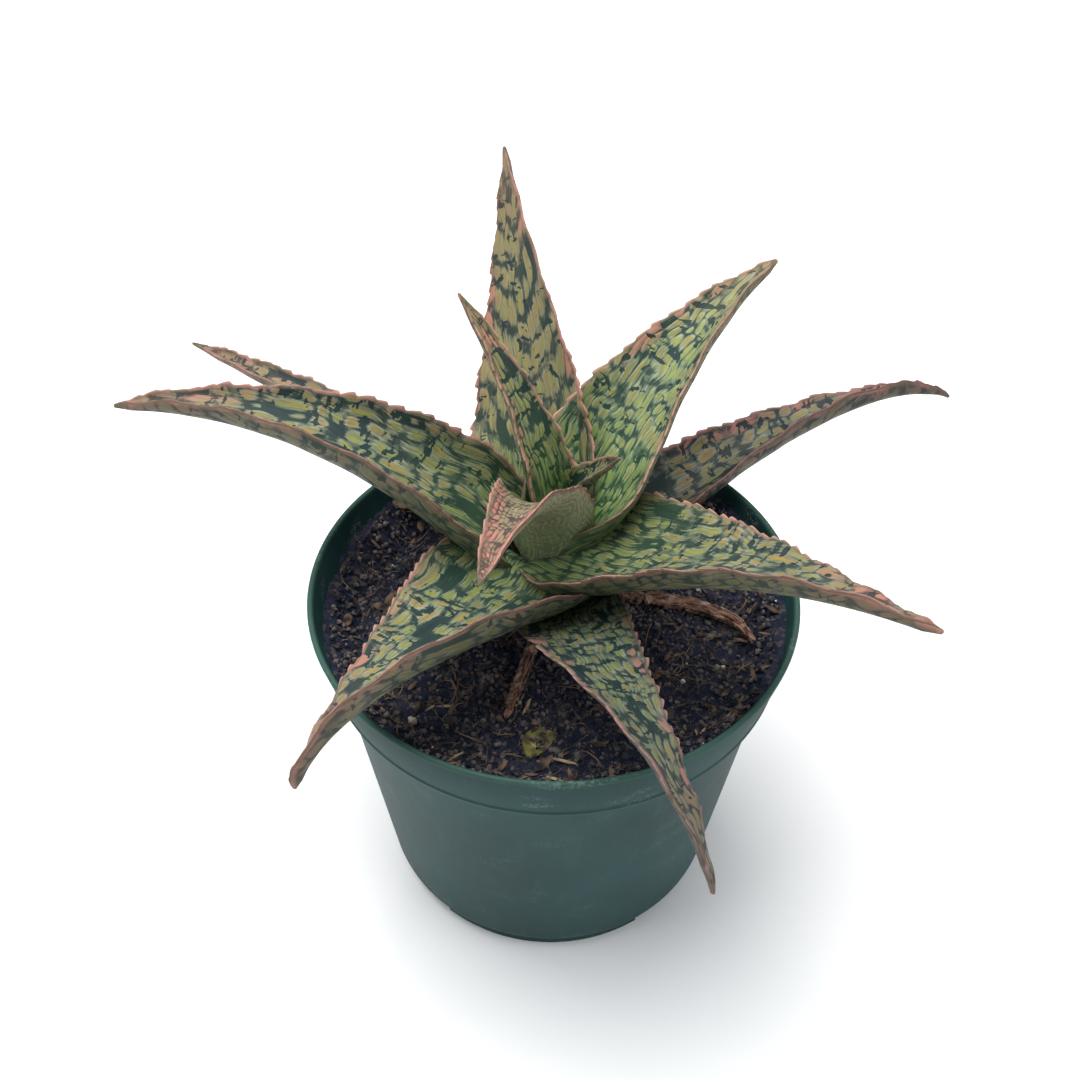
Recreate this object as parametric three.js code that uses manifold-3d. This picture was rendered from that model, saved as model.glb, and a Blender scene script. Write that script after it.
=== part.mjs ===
// A potted snowflake aloe: a rosette of channelled, toothed leaves on a short stem,
// standing in loose soil in a round plastic nursery pot.
// Millimetres, +Z up, the pot's base on the ground at the origin, the viewer at -Y.

import * as THREE from 'three';
import { mergeVertices } from 'three/addons/utils/BufferGeometryUtils.js';
import Module from 'manifold-3d';

const wasm = await Module();
wasm.setup();
const { Manifold, Mesh: SolidMesh } = wasm;

// Driving dimensions of the pot.
const POT_HEIGHT = 86;
const RIM_RADIUS = 55;
const POT_WALL = 1.4;
const LIP_HEIGHT = 15.5;
const LIP_FOOT_RADIUS = 51.5;
const LIP_STEP = 1.8;
const WALL_FOOT_RADIUS = 40.6;
const WALL_FOOT_HEIGHT = 6.4;
const FOOT_RADIUS = 38.5;
const FOOT_HEIGHT = 3.6;
const FOOT_WIDTH = 3.4;
const FLOOR_CHANNEL_LIFT = 3;
const FLOOR_PAD_RADIUS = 20.5;
const FLOOR_SLOPE = 1.5;
const DRAIN_HOLES = 4;
const DRAIN_FACING = 42;
const DRAIN_WIDTH = 11;
const DRAIN_HEIGHT = 5;
const DRAIN_INNER_RADIUS = 30;
const POT_SEGMENTS = 48;

// Driving dimensions of the soil and of the stem that stands in it.
const FIT_GAP = 0.3;
const SOIL_LEVEL = 74.5;
const SOIL_MOUND = 1.2;
const SOIL_LUMP = 0.8;
const SOIL_RINGS = 9;
const STEM_X = 0;
const STEM_Y = 11;
const STEM_RADIUS = 6.2;
const STEM_FOOT = 48;
const STEM_SHOULDER = 80;
const STEM_TOP = 89;

// What all the leaves share.
const SHEATH_ANGLE = 82;
const SHEATH_WRAP = 120;
const SHEATH_LENGTH = 0.045;
const WRAP_LENGTH = 0.09;
const ROLL_LENGTH = 0.08;
const WAIST_LENGTH = 0.07;
const LEAF_THICKNESS = 4;
const TIP_THINNING = 0.8;
const TIP_TAPER = 0.95;
const SWELL = 0.42;
const SWELL_RATE = 5;
const BACK_FULLNESS = 2.2;
const UPPER_POINTS = [0.55, 0, -0.55];
const FIRST_TOOTH = 0.1;
const LAST_TOOTH = 0.97;
const TOOTH_PITCH = 4;
const TOOTH_HEIGHT = 1.2;
const TOOTH_LEAN = 0.62;
const SPINE_STEPS = 240;
const LEAF_GAP = 0.5;

// One row for each leaf, innermost first: a leaf gives way to the ones above it.
// facing is the direction it leaves the stem, counted from +X towards +Y; rise is its
// slope there and droop how far it has bent down by the tip; fold is half the angle of
// the channel, roll and twist turn the blade about its own length; waist is how much
// narrower it is at the stem, radius how far its midline starts from the stem's middle.
// Degrees and mm.
const LEAVES = [
  { name: 'leaf_heart_right', facing: -11, swerve: -2, rise: 74, droop: -39, bend: 1.9,
    length: 29.5, height: 92, width: 14, fold: 61, roll: 4, twist: 4, radius: 0.2, thickness: 2 },
  { name: 'leaf_heart_front', facing: -107, swerve: -2, rise: 80, droop: -108, bend: 1.5,
    length: 66, height: 87, width: 23, fold: 56, roll: 15, twist: -16, radius: 3.5, thickness: 3.4 },
  { name: 'leaf_young_upright', facing: 152.5, swerve: -5.5, rise: 88.5, droop: -39.5, bend: 0.8,
    length: 64, height: 91, width: 12.7, fold: 27, roll: -24.5, twist: 27.5, radius: -1.5 },
  { name: 'leaf_back_right', facing: 43, swerve: -6, rise: 48.5, droop: -33, bend: 2.2,
    length: 80.5, height: 88.2, width: 32.5, fold: 56, roll: 20.5, twist: -38.5, wrap: 148,
    waist: 0.11, radius: 4 },
  { name: 'leaf_back', facing: 102.4, swerve: -5.7, rise: 45, droop: -12, bend: 1.4,
    length: 88, height: 89, width: 31.5, fold: 12, roll: -37, twist: -28, radius: 11 },
  { name: 'leaf_front_right', facing: -46, swerve: -3.5, rise: 37, droop: -20, bend: 1.9,
    length: 108, height: 82.7, width: 37, fold: 32.5, roll: 15.5, twist: -56.5, wrap: 101, waist: 0.25,
    radius: 7.7 },
  { name: 'leaf_left', facing: 171.3, swerve: 0.4, rise: 47.2, droop: -59.7, bend: 1.12,
    length: 100.8, height: 83, width: 31.1, fold: 74.5, roll: -12.7, twist: 28.5, wrap: 62,
    waist: 0.52, radius: 10.9 },
  { name: 'leaf_front_left', facing: -117, swerve: -22.8, rise: 18, droop: -96, bend: 4.3,
    length: 87.3, height: 81.8, width: 42.2, fold: 36.3, roll: 3.5, twist: 59.2, wrap: 74, waist: 0.42,
    radius: 8.7 },
  { name: 'leaf_right', facing: 35.5, swerve: -24, rise: 16, droop: -57, bend: 7,
    length: 101, height: 77.5, width: 19.5, fold: 59, roll: 33, twist: -89.5, radius: 13 },
  { name: 'leaf_back_left', facing: 142.5, swerve: 0.3, rise: 16.3, droop: -24.6, bend: 0.92,
    length: 111.5, height: 78.8, width: 14.5, fold: 62, roll: 48.4, twist: -70.5, wrap: 83, waist: 0.3,
    radius: 12 },
  { name: 'leaf_front', facing: -85, swerve: 26, rise: 29.5, droop: -107.5, bend: 3.7,
    length: 108.5, height: 77.5, width: 23, fold: 13, roll: 24.5, twist: -77, radius: 9.8 },
];

// Withered leaves lying on the soil, each a hand-laid run of points above the ground.
const DRIED = [
  { name: 'dried_leaf_right', width: 5, thickness: 1.1, curl: 70,
    run: [[12, 8], [18, 6.5], [26, 5], [34, 2.5], [42.5, -1.5], [46, -7]],
    lift: [2.4, 2.4, 2.2, 2.8, 3.2, 2] },
  { name: 'dried_leaf_front', width: 3.6, thickness: 1, curl: -60,
    run: [[-4, -5], [-5, -11], [-7, -19], [-8.5, -25], [-10, -30]], lift: [3, 2.4, 2.2, 2.4, 1.8] },
];
const DRIED_STEPS = 12;

const radians = THREE.MathUtils.degToRad;
const mix = THREE.MathUtils.lerp;

// A repeatable random number between 0 and 1 for a whole-number pair.
function grain(i, j) {
  const s = Math.sin(i * 127.1 + j * 311.7) * 43758.5453;
  return s - Math.floor(s);
}

// A closed solid from corner points and triangles, cleaned of doubled corners.
function solid(points, triangles) {
  const geometry = new THREE.BufferGeometry();
  geometry.setAttribute('position', new THREE.Float32BufferAttribute(points.flatMap((p) => p.toArray()), 3));
  geometry.setIndex(triangles.flat());
  return solidOf(geometry);
}

function solidOf(geometry) {
  geometry.deleteAttribute('normal');
  geometry.deleteAttribute('uv');
  const merged = mergeVertices(geometry, 1e-4);
  return new Manifold(new SolidMesh({
    numProp: 3,
    vertProperties: new Float32Array(merged.attributes.position.array),
    triVerts: new Uint32Array(merged.index.array),
  }));
}

// The largest piece that is left of a solid after cutting.
function largest(body) {
  return body.decompose().sort((a, b) => b.volume() - a.volume())[0];
}

function meshOf(name, body, material) {
  const { vertProperties, triVerts } = body.getMesh();
  const geometry = new THREE.BufferGeometry();
  geometry.setAttribute('position', new THREE.Float32BufferAttribute(vertProperties, 3));
  geometry.setIndex([...triVerts]);
  geometry.computeVertexNormals();
  const mesh = new THREE.Mesh(geometry, material);
  mesh.name = name;
  return mesh;
}

// A turned body about the Z axis from a profile of [radius, height] pairs.
function turned(profile, segments = POT_SEGMENTS) {
  const outline = profile.map(([r, z]) => new THREE.Vector2(r, z));
  return solidOf(new THREE.LatheGeometry(outline, segments).rotateX(Math.PI / 2));
}

// Pot: thin injection-moulded wall with a stepped lip, a foot ring, a raised channel
// around a flat middle pad, and drain holes through the corner of the base.
const lipFoot = POT_HEIGHT - LIP_HEIGHT;
const wallTopRadius = LIP_FOOT_RADIUS - LIP_STEP;

function innerRadius(z) {
  const lipInner = LIP_FOOT_RADIUS - POT_WALL;
  if (z >= lipFoot) return mix(lipInner, RIM_RADIUS - POT_WALL, (z - lipFoot) / LIP_HEIGHT);
  const rise = (z - WALL_FOOT_HEIGHT) / (lipFoot - WALL_FOOT_HEIGHT);
  return mix(WALL_FOOT_RADIUS, wallTopRadius, rise) - POT_WALL;
}

function potSolid() {
  const channelOuter = FOOT_RADIUS - FOOT_WIDTH;
  const shell = turned([
    [0, 0],
    [FLOOR_PAD_RADIUS, 0],
    [FLOOR_PAD_RADIUS + FLOOR_SLOPE, FLOOR_CHANNEL_LIFT],
    [channelOuter - FLOOR_SLOPE / 2, FLOOR_CHANNEL_LIFT],
    [channelOuter, 0],
    [FOOT_RADIUS, 0],
    [FOOT_RADIUS + 0.2, FOOT_HEIGHT],
    [WALL_FOOT_RADIUS - 0.8, FOOT_HEIGHT + 1],
    [WALL_FOOT_RADIUS, WALL_FOOT_HEIGHT],
    [wallTopRadius, lipFoot],
    [LIP_FOOT_RADIUS, lipFoot + 0.3],
    [RIM_RADIUS, POT_HEIGHT - 0.7],
    [RIM_RADIUS - 0.4, POT_HEIGHT],
    [RIM_RADIUS - POT_WALL, POT_HEIGHT],
    [innerRadius(lipFoot), lipFoot + POT_WALL / 2],
    [innerRadius(lipFoot - 1), lipFoot - POT_WALL],
    [innerRadius(WALL_FOOT_HEIGHT), WALL_FOOT_HEIGHT],
    [channelOuter - FLOOR_SLOPE / 2, FLOOR_CHANNEL_LIFT + POT_WALL],
    [FLOOR_PAD_RADIUS, FLOOR_CHANNEL_LIFT + POT_WALL],
    [FLOOR_PAD_RADIUS - FLOOR_SLOPE, POT_WALL],
    [0, POT_WALL],
  ]);
  const reach = RIM_RADIUS - DRAIN_INNER_RADIUS;
  const hole = new THREE.BoxGeometry(reach, DRAIN_WIDTH, DRAIN_HEIGHT * 2);
  hole.translate(DRAIN_INNER_RADIUS + reach / 2, 0, 0);
  let pot = shell;
  for (let k = 0; k < DRAIN_HOLES; k += 1) {
    const angle = radians(DRAIN_FACING) + (k * 2 * Math.PI) / DRAIN_HOLES;
    pot = pot.subtract(solidOf(hole.clone().rotateZ(angle)));
  }
  return pot;
}

// Soil: fills the pot with a crumbly top that rises a little round the stem.
function soilHeight(x, y) {
  const reach = Math.hypot(x, y) / innerRadius(SOIL_LEVEL);
  const waves = Math.sin(x * 0.21 + 1.3) * Math.cos(y * 0.17) + 0.6 * Math.sin(x * 0.11 - y * 0.23);
  const lump = grain(Math.round(x * 2), Math.round(y * 2)) - 0.5;
  return SOIL_LEVEL + SOIL_MOUND * (0.4 - reach * reach) + SOIL_LUMP * (0.5 * waves + lump);
}

function soilSolid(lift = 0, foot = FLOOR_CHANNEL_LIFT + POT_WALL + FIT_GAP) {
  const points = [];
  const triangles = [];
  const rings = [];
  for (let k = 1; k <= SOIL_RINGS; k += 1) rings.push(k / SOIL_RINGS);
  const edge = innerRadius(lipFoot) - FIT_GAP / 2;
  points.push(new THREE.Vector3(0, 0, soilHeight(0, 0) + lift));
  const ringStart = [];
  const ring = (radius, height) => {
    ringStart.push(points.length);
    for (let s = 0; s < POT_SEGMENTS; s += 1) {
      const a = (s * 2 * Math.PI) / POT_SEGMENTS;
      const x = radius * Math.cos(a);
      const y = radius * Math.sin(a);
      points.push(new THREE.Vector3(x, y, height === undefined ? soilHeight(x, y) + lift : height));
    }
  };
  rings.forEach((k) => ring(k * edge));
  ring(innerRadius(lipFoot) - FIT_GAP, lipFoot + POT_WALL / 2 + FIT_GAP);
  ring(innerRadius(lipFoot - 1) - FIT_GAP, lipFoot - POT_WALL + FIT_GAP);
  ring(innerRadius(WALL_FOOT_HEIGHT) - FIT_GAP, WALL_FOOT_HEIGHT + FIT_GAP);
  ring(FOOT_RADIUS - FOOT_WIDTH - FLOOR_SLOPE, foot);
  const bottom = points.length;
  points.push(new THREE.Vector3(0, 0, foot));
  const next = (s) => (s + 1) % POT_SEGMENTS;
  for (let s = 0; s < POT_SEGMENTS; s += 1) {
    triangles.push([0, ringStart[0] + s, ringStart[0] + next(s)]);
    for (let k = 1; k < ringStart.length; k += 1) {
      const [a, b] = [ringStart[k - 1], ringStart[k]];
      triangles.push([a + s, b + s, b + next(s)], [a + s, b + next(s), a + next(s)]);
    }
    const last = ringStart[ringStart.length - 1];
    triangles.push([bottom, last + next(s), last + s]);
  }
  return solid(points, triangles);
}

// Stem: a short upright column with a growing point, set in a plain hole in the soil.
function stemSolid(grow = 0) {
  const r = STEM_RADIUS + grow;
  return turned([
    [0, STEM_FOOT - grow],
    [r - 0.8, STEM_FOOT - grow],
    [r, STEM_FOOT + 4],
    [r, STEM_SHOULDER],
    [3.6 + grow, STEM_TOP - 4],
    [1.2 + grow, STEM_TOP - 1 + grow],
    [0, STEM_TOP + grow],
  ], 20).translate([STEM_X, STEM_Y, 0]);
}

// Leaf: the course of its midline, with the side and upward direction along it.
function leafSpine(leaf) {
  const frames = [];
  const at = new THREE.Vector3();
  for (let i = 0; i <= SPINE_STEPS; i += 1) {
    const t = i / SPINE_STEPS;
    const facing = radians(leaf.facing + leaf.swerve * t);
    const slope = radians(leaf.rise + (SHEATH_ANGLE - leaf.rise) * Math.exp(-t / SHEATH_LENGTH)
      + leaf.droop * t ** leaf.bend);
    const along = new THREE.Vector3(
      Math.cos(slope) * Math.cos(facing), Math.cos(slope) * Math.sin(facing), Math.sin(slope));
    if (i === 0) {
      at.set(STEM_X + Math.cos(facing) * leaf.radius, STEM_Y + Math.sin(facing) * leaf.radius, leaf.height);
    } else {
      const middle = along.clone().add(frames[i - 1].along).multiplyScalar(0.5);
      at.addScaledVector(middle, leaf.length / SPINE_STEPS);
    }
    const level = new THREE.Vector3(-Math.sin(facing), Math.cos(facing), 0);
    const turn = radians(leaf.roll + leaf.twist * t) * (1 - Math.exp(-t / ROLL_LENGTH));
    const side = level.applyAxisAngle(along, turn);
    const up = new THREE.Vector3().crossVectors(along, side);
    frames.push({ at: at.clone(), along, side, up });
  }
  return frames;
}

// Half the width of a leaf: a waist at the stem, a swell above it and a long taper.
function halfWidth(leaf, t) {
  const waist = 1 - (leaf.waist ?? 0) * Math.exp(-t / WAIST_LENGTH);
  const swell = 1 + SWELL - SWELL * Math.exp(-SWELL_RATE * t);
  return (leaf.width / 2) * waist * swell * Math.max(1 - t, 0) ** TIP_TAPER;
}

// The cross-section is an arc, wrapped round the stem at the sheath and opening into
// the channel, with a thicker back; both margins carry the teeth.
function leafSolid(leaf, index, grow = 0) {
  const frames = leafSpine(leaf);
  const teeth = Math.round((leaf.length * (LAST_TOOTH - FIRST_TOOTH)) / TOOTH_PITCH);
  const stations = [{ t: 0 }, { t: 0.02 }, { t: 0.045 }, { t: 0.07 }];
  for (let k = 0; k < teeth; k += 1) {
    const pitch = (LAST_TOOTH - FIRST_TOOTH) / teeth;
    const valley = FIRST_TOOTH + k * pitch;
    stations.push({ t: valley }, { t: valley + TOOTH_LEAN * pitch, tooth: k + 1 });
  }
  const points = [];
  stations.forEach(({ t, tooth }) => {
    const { at, along, side, up } = frames[Math.round(t * SPINE_STEPS)];
    const half = halfWidth(leaf, t);
    const fold = radians(mix(leaf.fold, leaf.wrap ?? SHEATH_WRAP, Math.exp(-t / WRAP_LENGTH)));
    const depth = (leaf.thickness ?? LEAF_THICKNESS) * (1 - TIP_THINNING * t);
    const centre = at.clone().addScaledVector(along, t === 0 ? -grow : 0);
    const place = (u, drop, reach = 0) => {
      const a = u * fold;
      const across = (half / fold) * Math.sin(a) + Math.sin(a) * drop + reach * Math.cos(a);
      const upward = (half / fold) * (1 - Math.cos(a)) - Math.cos(a) * drop + reach * Math.sin(a);
      return centre.clone().addScaledVector(side, across).addScaledVector(up, upward);
    };
    const spike = (edge) => {
      const height = tooth ? TOOTH_HEIGHT * (1 - 0.5 * t) * mix(0.75, 1.15, grain(tooth + edge, index)) : 0;
      return height + grow;
    };
    const back = (u) => depth * (1 - Math.abs(u) ** BACK_FULLNESS) + grow;
    points.push(place(1, 0, spike(0)));
    UPPER_POINTS.forEach((u) => points.push(place(u, -grow)));
    points.push(place(-1, 0, -spike(50)));
    [...UPPER_POINTS].reverse().forEach((u) => points.push(place(u, back(u))));
  });
  const ring = 2 * UPPER_POINTS.length + 2;
  const tip = points.length;
  const last = frames[SPINE_STEPS];
  points.push(last.at.clone().addScaledVector(last.up, -0.3).addScaledVector(last.along, grow));
  const triangles = [];
  for (let k = 0; k < stations.length - 1; k += 1) {
    for (let s = 0; s < ring; s += 1) {
      const [a, b] = [k * ring + s, k * ring + ((s + 1) % ring)];
      triangles.push([a, b, b + ring], [a, b + ring, a + ring]);
    }
  }
  const end = (stations.length - 1) * ring;
  for (let s = 0; s < ring; s += 1) triangles.push([end + s, end + ((s + 1) % ring), tip]);
  triangles.push([0, 7, 1], [1, 7, 6], [1, 6, 2], [2, 6, 5], [2, 5, 3], [3, 5, 4]);
  return solid(points, triangles);
}

// Dried leaf: a thin curled strip that lies along its run of points above the soil.
function driedSolid(dried, index) {
  const run = dried.run.map(([x, y], i) => new THREE.Vector3(x, y, soilHeight(x, y) + dried.lift[i]));
  const course = new THREE.CatmullRomCurve3(run);
  const points = [];
  const section = [[1, 0], [0.45, 1], [-0.45, 1], [-1, 0], [-0.45, -1], [0.45, -1]];
  for (let k = 0; k <= DRIED_STEPS; k += 1) {
    const t = k / DRIED_STEPS;
    const at = course.getPointAt(t);
    const along = course.getTangentAt(t);
    const level = new THREE.Vector3(0, 0, 1).cross(along).normalize();
    const side = level.applyAxisAngle(along, radians(dried.curl) * (t - 0.3));
    const up = new THREE.Vector3().crossVectors(along, side);
    const taper = Math.sin(Math.PI * mix(0.16, 0.93, t)) * mix(0.8, 1.1, grain(k, index));
    section.forEach(([u, v]) => points.push(at.clone()
      .addScaledVector(side, (u * dried.width * taper) / 2)
      .addScaledVector(up, (v * dried.thickness) / 2 - (1 - u * u) * dried.width * 0.18 * taper)));
  }
  const ring = section.length;
  const triangles = [];
  for (let k = 0; k < DRIED_STEPS; k += 1) {
    for (let s = 0; s < ring; s += 1) {
      const [a, b] = [k * ring + s, k * ring + ((s + 1) % ring)];
      triangles.push([a, b, b + ring], [a, b + ring, a + ring]);
    }
  }
  const end = DRIED_STEPS * ring;
  for (let s = 1; s < ring - 1; s += 1) {
    triangles.push([0, s + 1, s], [end, end + s, end + s + 1]);
  }
  return solid(points, triangles);
}

// Finishes, with colours as they look in daylight.
const finish = (color, roughness) => new THREE.MeshStandardMaterial({ color, roughness, metalness: 0 });
const potPlastic = () => finish('#41574f', 0.5);
const soilMix = () => finish('#2b211b', 0.95);
const leafSkin = () => finish('#5d7355', 0.45);
const heartSkin = () => finish('#86806a', 0.5);
const stemSkin = () => finish('#6f8a3c', 0.6);
const driedSkin = () => finish('#6d4a36', 0.85);

const plant = new THREE.Group();
plant.name = 'potted_aloe';

plant.add(meshOf('pot', potSolid(), potPlastic()));
plant.add(meshOf('stem', stemSolid(), stemSkin()));

// Each leaf is cut back, with a hair's gap, where the stem and the inner leaves pass.
const inner = [stemSolid(FIT_GAP)];
LEAVES.forEach((leaf, index) => {
  const body = largest(inner.reduce((left, other) => left.subtract(other), leafSolid(leaf, index)));
  inner.push(leafSolid(leaf, index, LEAF_GAP), body);
  plant.add(meshOf(leaf.name, body, leaf.name.includes('heart') ? heartSkin() : leafSkin()));
});

const ground = soilSolid().subtract(stemSolid(FIT_GAP));
plant.add(meshOf('soil', ground, soilMix()));

const keepOff = [soilSolid(FIT_GAP), ...inner];
DRIED.forEach((dried, index) => {
  const body = largest(keepOff.reduce((left, other) => left.subtract(other), driedSolid(dried, index)));
  plant.add(meshOf(dried.name, body, driedSkin()));
});

export default plant;
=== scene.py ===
"""A potted snowflake aloe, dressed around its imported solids: a mottled, toothed rosette
in moist soil in a dark green nursery pot, on a pale floor in soft studio light."""

import math
import random

import bpy
import numpy as np
from mathutils import Matrix, Vector, noise


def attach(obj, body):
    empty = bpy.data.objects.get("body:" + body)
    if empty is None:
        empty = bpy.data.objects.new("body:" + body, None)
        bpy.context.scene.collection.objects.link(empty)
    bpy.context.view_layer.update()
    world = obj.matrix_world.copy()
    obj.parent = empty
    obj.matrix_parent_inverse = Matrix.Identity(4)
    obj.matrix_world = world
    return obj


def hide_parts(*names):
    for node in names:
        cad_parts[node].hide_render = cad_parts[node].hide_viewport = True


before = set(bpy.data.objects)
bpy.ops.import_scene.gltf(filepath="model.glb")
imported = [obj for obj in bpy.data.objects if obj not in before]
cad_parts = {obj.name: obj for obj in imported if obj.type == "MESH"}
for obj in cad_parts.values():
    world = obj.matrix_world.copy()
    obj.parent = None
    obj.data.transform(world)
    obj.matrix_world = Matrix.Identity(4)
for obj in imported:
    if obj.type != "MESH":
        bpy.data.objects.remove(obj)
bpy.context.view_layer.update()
bpy.ops.object.select_all(action="DESELECT")


# Pot: a thin-walled round nursery pot, injection moulded in dark green plastic. It has a
# flared lip over the wall, a rounded bottom corner, and a foot ring broken by drain
# openings. It stands on the foot ring and carries everything else.
MM = 0.001
POT_HEIGHT = 86
RIM_RADIUS = 55
POT_WALL = 1.4
LIP_FOOT = 70.5
LIP_FOOT_RADIUS = 51.5
LIP_STEP = 1.8
LIP_BEAD = 0.35
WALL_FOOT_RADIUS = 40.6
WALL_FOOT = 6.4
FOOT_RADIUS = 38.5
FOOT_HEIGHT = 3.6
FOOT_WIDTH = 3.4
FOOT_ROUND = 0.4
CHANNEL_LIFT = 3
CHANNEL_ROUND = 0.3
PAD_RADIUS = 20.5
FLOOR_SLOPE = 1.5
DRAIN_FACINGS = (42, 132, 222, 312)
DRAIN_WIDTH = 11
DRAIN_HEIGHT = 5
DRAIN_INNER_RADIUS = 30
RIM_STEPS = 6
POT_SEGMENTS = 144
POT_CREASE = 32
LIP_SCUFF_RISE = 4
RIM_HIGHLIGHT = (1.6, 0.4)
POT_RELIEF = 0.05


class Socket:
    """One output of a shader node, so that sums on it can be written as expressions."""

    def __init__(self, finish, socket):
        self.finish = finish
        self.socket = socket

    def math(self, operation, *values):
        return self.finish.node("ShaderNodeMath", {"operation": operation}, dict(enumerate(values)))

    def __add__(self, other):
        return self.math("ADD", self, other)

    def __sub__(self, other):
        return self.math("SUBTRACT", self, other)

    def __rsub__(self, other):
        return self.math("SUBTRACT", other, self)

    def __mul__(self, other):
        return self.math("MULTIPLY", self, other)

    def __truediv__(self, other):
        return self.math("DIVIDE", self, other)

    def __pow__(self, other):
        return self.math("POWER", self, other)

    def __abs__(self):
        return self.math("ABSOLUTE", self)

    __radd__ = __add__
    __rmul__ = __mul__

    def floor(self):
        return self.math("FLOOR", self)

    def of(self, name):
        """Another output of the same node."""
        return Socket(self.finish, self.socket.node.outputs[name])

    def smooth(self, low, high):
        """0 below low and 1 above high, with a soft step between; the other way if low is larger."""
        settings = {"interpolation_type": "SMOOTHSTEP"}
        if low > high:
            return 1 - self.smooth(high, low)
        return self.finish.node(
            "ShaderNodeMapRange", settings, {"Value": self, "From Min": low, "From Max": high})


class Finish:
    """A material being made: one Principled shader and the nodes that feed it."""

    def __init__(self, name, **constants):
        self.material = bpy.data.materials.new(name)
        self.material.use_nodes = True
        self.tree = self.material.node_tree
        self.shader = self.tree.nodes["Principled BSDF"]
        for key, value in constants.items():
            self.shader.inputs[key.replace("_", " ")].default_value = value

    def node(self, kind, settings=None, inputs=None, output=0):
        """Adds a node: its settings first, then the values or links of its sockets."""
        made = self.tree.nodes.new(kind)
        for key, value in (settings or {}).items():
            setattr(made, key, value)
        for key, value in (inputs or {}).items():
            self.feed(made.inputs[key], value)
        return Socket(self, made.outputs[output])

    def feed(self, socket, value):
        if isinstance(value, Socket):
            self.tree.links.new(value.socket, socket)
        else:
            socket.default_value = value

    def mix(self, factor, first, second):
        """A colour between two colours."""
        return self.node("ShaderNodeMix", {"data_type": "RGBA"}, {0: factor, 6: first, 7: second}, 2)

    def vector(self, operation, *values):
        return self.node("ShaderNodeVectorMath", {"operation": operation}, dict(enumerate(values)))

    def grain(self, place, scale, detail=2.0, rough=0.5, output="Fac", dimensions="3D"):
        """Soft noise of a scale in cycles per unit of place."""
        return self.node("ShaderNodeTexNoise", {"noise_dimensions": dimensions},
                         {"Vector": place, "Scale": scale, "Detail": detail, "Roughness": rough}, output)

    def bump(self, height, depth, strength=1.0):
        """Relief of a depth in mm."""
        relief = self.node("ShaderNodeBump", None,
                           {"Height": height, "Distance": depth * MM, "Strength": strength})
        self.feed(self.shader.inputs["Normal"], relief)

    def look(self, colour, roughness):
        self.feed(self.shader.inputs["Base Color"], colour)
        self.feed(self.shader.inputs["Roughness"], roughness)
        return self.material


def daylight(red, green, blue):
    """A colour as it looks on a screen, 0 to 255, as the linear colour that shaders take."""
    shades = [value / 255 for value in (red, green, blue)]
    return tuple((s / 12.92 if s <= 0.04045 else ((s + 0.055) / 1.055) ** 2.4) for s in shades) + (1.0,)


def settle(piece, name, material, node=None):
    """Names a finished piece, gives it its finish and fixes it to the one body."""
    piece.name = piece.data.name = name
    piece.data.materials.clear()
    piece.data.materials.append(material)
    if node:
        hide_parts(node)
    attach(piece, "root")
    piece.select_set(False)


def apply_modifier(body, kind, **settings):
    """Gives a body one modifier with its settings and applies it."""
    bpy.context.view_layer.objects.active = body
    bpy.ops.object.modifier_add(type=kind)
    modifier = body.modifiers[-1]
    for key, value in settings.items():
        setattr(modifier, key, value)
    bpy.ops.object.modifier_apply(modifier=modifier.name)


def pot_profile():
    """The wall's section from the pad's edge, round the outside and in to the floor, in mm."""
    channel_outer = FOOT_RADIUS - FOOT_WIDTH
    wall_top = LIP_FOOT_RADIUS - LIP_STEP
    rim_middle = RIM_RADIUS - POT_WALL / 2
    profile = [
        (PAD_RADIUS + FLOOR_SLOPE, CHANNEL_LIFT),
        (channel_outer - FLOOR_SLOPE / 2, CHANNEL_LIFT),
        (channel_outer, CHANNEL_ROUND), (channel_outer + CHANNEL_ROUND, 0),
        (FOOT_RADIUS - FOOT_ROUND, 0), (FOOT_RADIUS, FOOT_ROUND),
        (FOOT_RADIUS + 0.2, FOOT_HEIGHT - 0.3), (FOOT_RADIUS + 0.5, FOOT_HEIGHT),
        (WALL_FOOT_RADIUS - 1.0, FOOT_HEIGHT + 0.5), (WALL_FOOT_RADIUS - 0.4, FOOT_HEIGHT + 1.3),
        (WALL_FOOT_RADIUS, WALL_FOOT),
        (wall_top - 0.1, LIP_FOOT - 0.5), (wall_top + 0.3, LIP_FOOT),
        (LIP_FOOT_RADIUS - 0.2, LIP_FOOT), (LIP_FOOT_RADIUS + 0.15, LIP_FOOT + 0.4),
        (LIP_FOOT_RADIUS + LIP_BEAD + 0.2, LIP_FOOT + 1.5),
        (LIP_FOOT_RADIUS + 0.35, LIP_FOOT + 2.1),
    ]
    for step in range(RIM_STEPS + 1):
        turn = math.pi * step / RIM_STEPS
        profile.append((rim_middle + POT_WALL / 2 * math.cos(turn),
                        POT_HEIGHT - POT_WALL / 2 + POT_WALL / 2 * math.sin(turn)))
    profile += [
        (LIP_FOOT_RADIUS - POT_WALL, LIP_FOOT + POT_WALL / 2),
        (wall_top - POT_WALL, LIP_FOOT - POT_WALL),
        (WALL_FOOT_RADIUS - POT_WALL, WALL_FOOT),
        (channel_outer - FLOOR_SLOPE / 2, CHANNEL_LIFT + POT_WALL),
        (PAD_RADIUS, CHANNEL_LIFT + POT_WALL),
        (PAD_RADIUS - FLOOR_SLOPE, POT_WALL),
    ]
    return profile


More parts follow.
